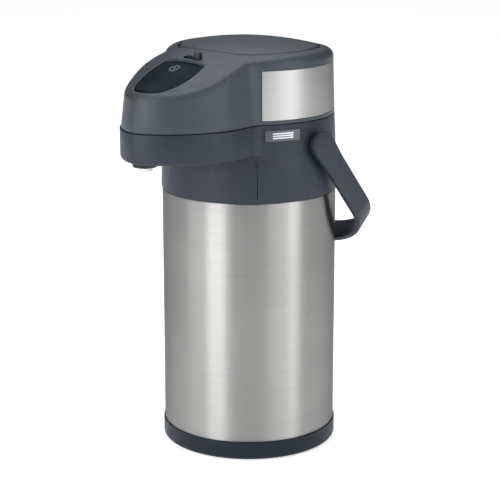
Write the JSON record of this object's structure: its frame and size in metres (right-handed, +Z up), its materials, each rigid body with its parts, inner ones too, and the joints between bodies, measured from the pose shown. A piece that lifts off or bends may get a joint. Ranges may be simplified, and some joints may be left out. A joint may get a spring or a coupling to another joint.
{
  "type": "pump airpot",
  "caption": "Insulated pump airpot: steel vacuum body, pump lid with spout beak, carrying handle and swivel foot.",
  "frame": {"origin": "on the pot's axis, at the surface that the foot stands on", "axes": "+Z up along the pot's axis, -Y towards the spout, +X towards one side of the handle"},
  "size_m": [0.1794, 0.2529, 0.3782],
  "materials": {
    "slate": "fine matte grain",
    "dark": "satin",
    "steel": "hairlines round the body",
    "black": "satin",
    "rubber": "matte",
    "silicone": "matte, milky",
    "badge": "dark satin"
  },
  "bodies": {
    "pot": {"outer_shell": "steel", "inner_vessel": "steel", "base_cover": "dark", "swivel_screw": "steel", "collar_housing": "slate", "front_panel": "slate", "collar_deck": "slate", "neck_ring": "black", "tube_carrier": "black", "dip_tube": "steel", "discharge_tube": "silicone", "nozzle_ring": "black", "spout_tip": "silicone", "badge_plate": "badge", "lid_hinge_pin": "steel", "handle_pivot_near": "black", "handle_pivot_far": "black"},
    "turntable": {"turntable_plate": "black", "turntable_pad": "rubber"},
    "handle": {"handle_strap": "slate"},
    "lid": {"lid_shell": "slate", "lid_band": "steel", "lid_base": "black", "mouth_plug": "black", "mouth_gasket": "silicone", "bellows": "rubber", "return_spring": "steel", "lid_screw_1": "steel", "lid_screw_2": "steel", "lid_screw_3": "steel", "lid_screw_4": "steel"},
    "push_plate": {"push_plate": "slate"},
    "bellows_cap": {"bellows_cap": "black"},
    "lock": {"lock_slider": "black"},
    "lever": {"release_lever": "dark", "lever_emblem": "badge"}
  },
  "joints": [
    {"name": "turntable_swivel", "type": "hinge", "parent": "pot", "child": "turntable", "pos_m": [0, 0, 0], "axis": [0, 0, 1], "continuous": true},
    {"name": "handle_swing", "type": "hinge", "parent": "pot", "child": "handle", "pos_m": [0, 0, 0.2898], "axis": [1, 0, 0], "range_deg": [0, 139.5]},
    {"name": "lid_hinge", "type": "hinge", "parent": "pot", "child": "lid", "pos_m": [0, 0.084, 0.312], "axis": [-1, 0, 0], "range_deg": [0, 95]},
    {"name": "push_hinge", "type": "hinge", "parent": "lid", "child": "push_plate", "pos_m": [0, 0.056, 0.3615], "axis": [1, 0, 0], "range_deg": [0, 14], "stiffness_Nm_per_rad": 6, "springref_deg": -2.86},
    {"name": "bellows_travel", "type": "slide", "parent": "lid", "child": "bellows_cap", "axis": [0, 0, -1], "range_m": [0, 0.0175], "deforming": ["bellows", "return_spring"]},
    {"name": "lock_slide", "type": "slide", "parent": "lid", "child": "lock", "axis": [-1, 0, 0], "range_m": [0, 0.011]},
    {"name": "lever_hinge", "type": "hinge", "parent": "lid", "child": "lever", "pos_m": [0, -0.088, 0.36099], "axis": [-1, 0, 0], "range_deg": [0, 15], "stiffness_Nm_per_rad": 0.3, "springref_deg": -8.59}
  ],
  "couplings": [
    {"joint": "bellows_travel", "follows": "push_hinge", "m_per_rad": 0.07}
  ]
}
